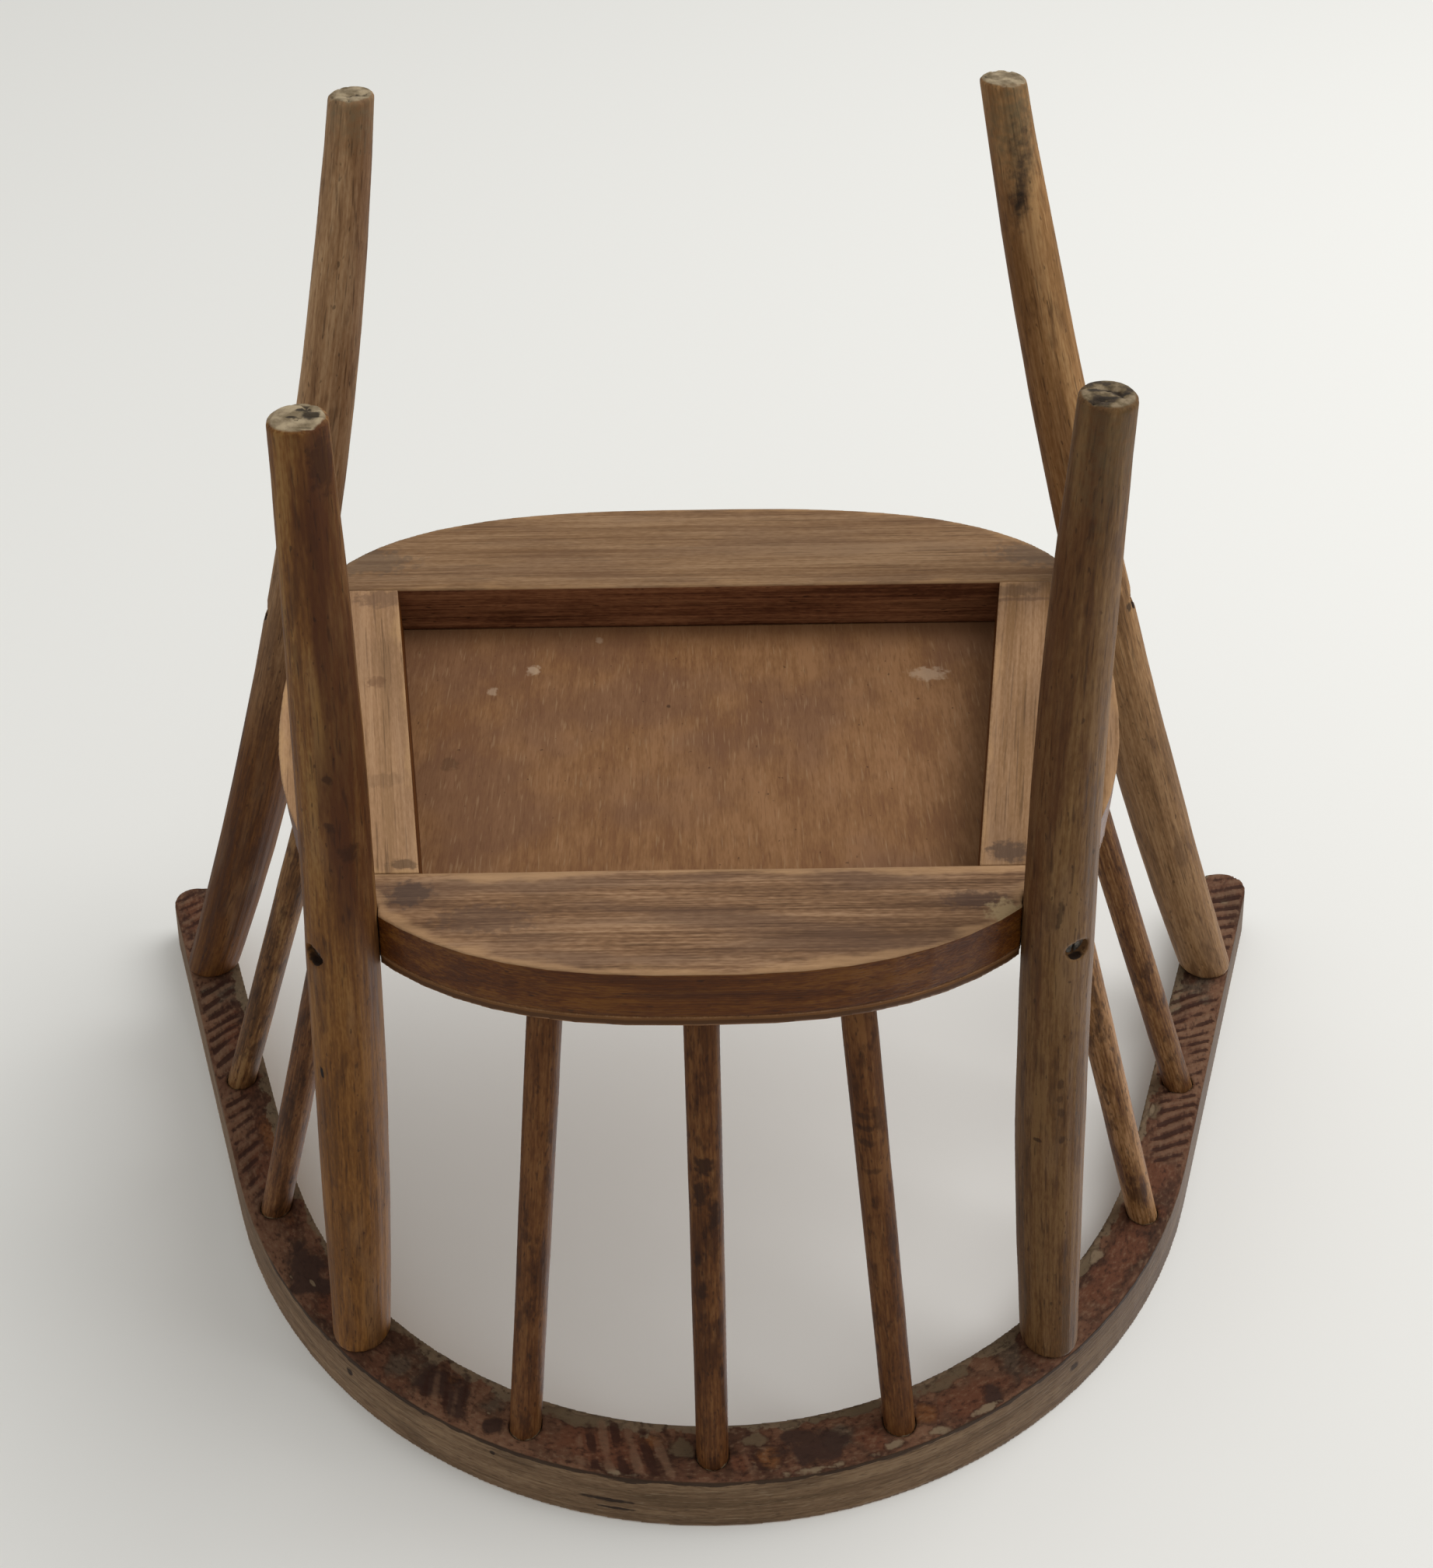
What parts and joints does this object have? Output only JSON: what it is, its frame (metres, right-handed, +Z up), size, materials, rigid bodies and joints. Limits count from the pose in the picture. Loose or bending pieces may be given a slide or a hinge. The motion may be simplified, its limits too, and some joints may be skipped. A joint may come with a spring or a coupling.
{
  "type": "child's armchair",
  "caption": "Low-backed wooden child's armchair: a round arm bow carried by bent turned posts and plain spindles over a plywood seat on a rail frame.",
  "frame": {"origin": "on the floor, under the middle of the chair's overall box", "axes": "+Z up from the feet to the arm bow, +Y towards the round back, -Y the way the sitter faces, +X to the sitter's left"},
  "size_m": [0.5334, 0.319, 0.435],
  "materials": {
    "bow_wood": "aged dark red-brown hardwood, rough-sawn and flaking below, worn smooth outside",
    "post_wood": "aged brown turned hardwood, sanded back, dull",
    "spindle_wood": "aged brown round rod with dark flecks, dull",
    "rail_wood": "bare weathered brown hardwood, matt",
    "plywood": "thin plywood with a fine fleck, bare and scuffed underneath",
    "dowel_wood": "bare pale dowel rod",
    "screw_steel": "dull grey steel"
  },
  "bodies": {
    "root": {"arm_bow": "bow_wood", "post_front_left": "post_wood", "post_front_right": "post_wood", "post_rear_left": "post_wood", "post_rear_right": "post_wood", "spindle_back_centre": "spindle_wood", "spindle_back_left": "spindle_wood", "spindle_back_right": "spindle_wood", "spindle_left_front": "spindle_wood", "spindle_left_rear": "spindle_wood", "spindle_right_front": "spindle_wood", "spindle_right_rear": "spindle_wood", "seat_rail_front": "rail_wood", "seat_rail_rear": "rail_wood", "seat_rail_left": "rail_wood", "seat_rail_right": "rail_wood", "seat_panel": "plywood", "screw_front_left": "screw_steel", "screw_front_right": "screw_steel", "screw_rear_left": "screw_steel", "screw_rear_right": "screw_steel", "dowel_front_left": "dowel_wood", "dowel_front_right": "dowel_wood", "dowel_rear_left": "dowel_wood", "dowel_rear_right": "dowel_wood", "pin_01": "screw_steel", "pin_02": "screw_steel", "pin_03": "screw_steel", "pin_04": "screw_steel", "pin_05": "screw_steel", "pin_06": "screw_steel", "pin_07": "screw_steel", "pin_08": "screw_steel", "pin_09": "screw_steel", "pin_10": "screw_steel", "pin_11": "screw_steel", "pin_12": "screw_steel"}
  },
  "joints": []
}
